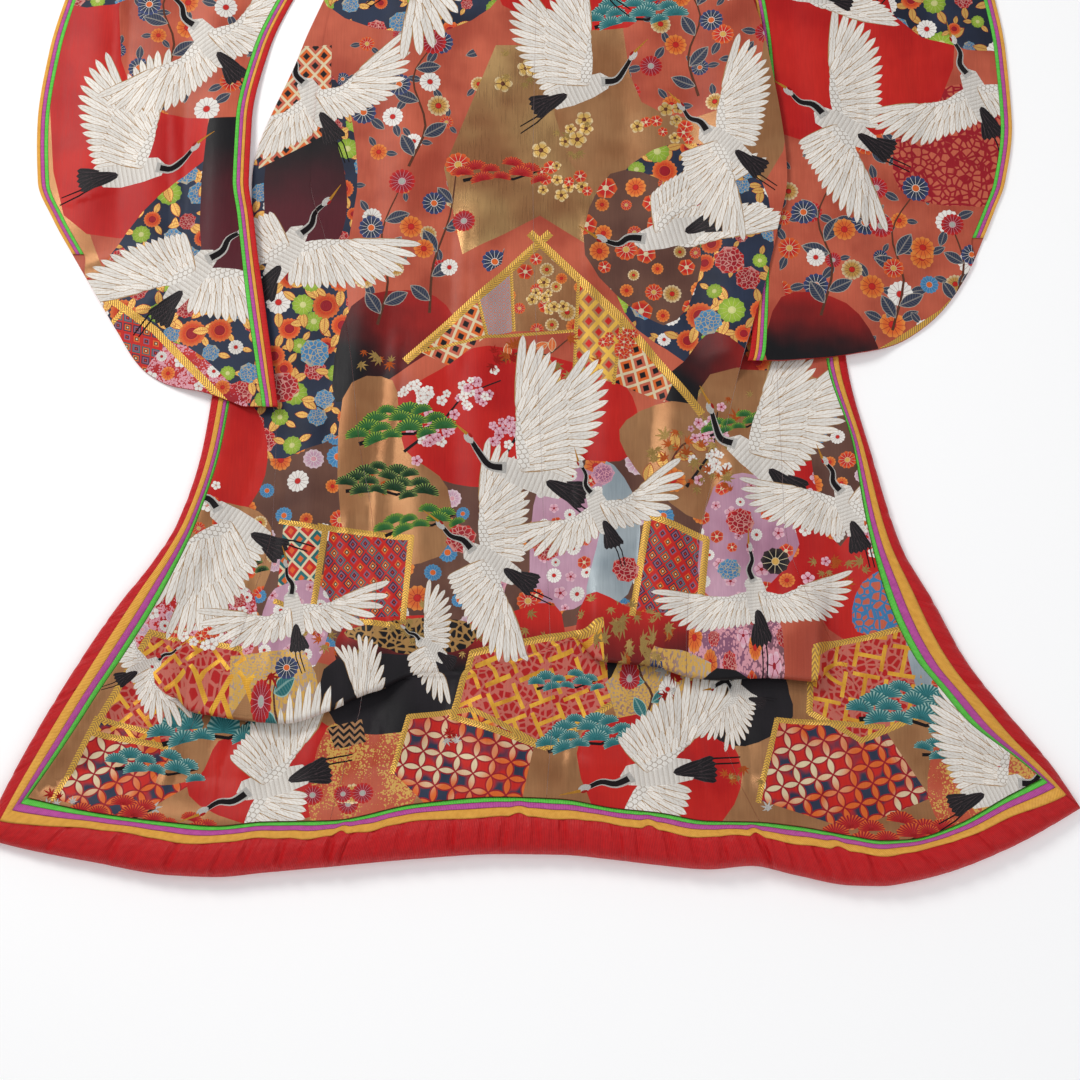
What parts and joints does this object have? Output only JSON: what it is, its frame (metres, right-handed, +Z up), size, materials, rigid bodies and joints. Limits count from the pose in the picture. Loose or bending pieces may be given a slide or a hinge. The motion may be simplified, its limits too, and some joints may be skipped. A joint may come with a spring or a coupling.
{
  "type": "uchikake wedding kimono",
  "caption": "Uchikake wedding kimono laid flat with its back up: brocade panels, wide rounded sleeves, layered edge trims and a padded red hem roll.",
  "frame": {"origin": "middle of the garment's footprint on the surface it lies on", "axes": "+Z up from the surface, +Y from the hem towards the collar, +X towards the garment's right sleeve"},
  "size_m": [1.5906, 1.8318, 0.0395],
  "materials": {
    "brocade": "woven silk brocade with gold and coloured figures",
    "fuki_red": "plain red habutae silk, padded",
    "trim_green": "ribbed silk strip",
    "trim_purple": "ribbed silk strip",
    "trim_yellow": "ribbed silk strip"
  },
  "bodies": {
    "root": {"back_left": "brocade", "back_right": "brocade", "front_left": "brocade", "front_right": "brocade", "okumi_left": "brocade", "okumi_right": "brocade", "collar": "brocade", "sleeve_left_back": "brocade", "sleeve_left_front": "brocade", "sleeve_right_back": "brocade", "sleeve_right_front": "brocade", "hem_roll": "fuki_red", "edge_roll_left": "fuki_red", "edge_roll_right": "fuki_red", "furi_red_left": "fuki_red", "furi_red_right": "fuki_red", "trim_green": "trim_green", "furi_green_left": "trim_green", "furi_green_right": "trim_green", "cuff_green_left": "trim_green", "cuff_green_right": "trim_green", "trim_purple": "trim_purple", "furi_purple_left": "trim_purple", "furi_purple_right": "trim_purple", "cuff_purple_left": "trim_purple", "cuff_purple_right": "trim_purple", "trim_yellow": "trim_yellow", "furi_yellow_left": "trim_yellow", "furi_yellow_right": "trim_yellow", "cuff_yellow_left": "trim_yellow", "cuff_yellow_right": "trim_yellow"}
  },
  "joints": []
}
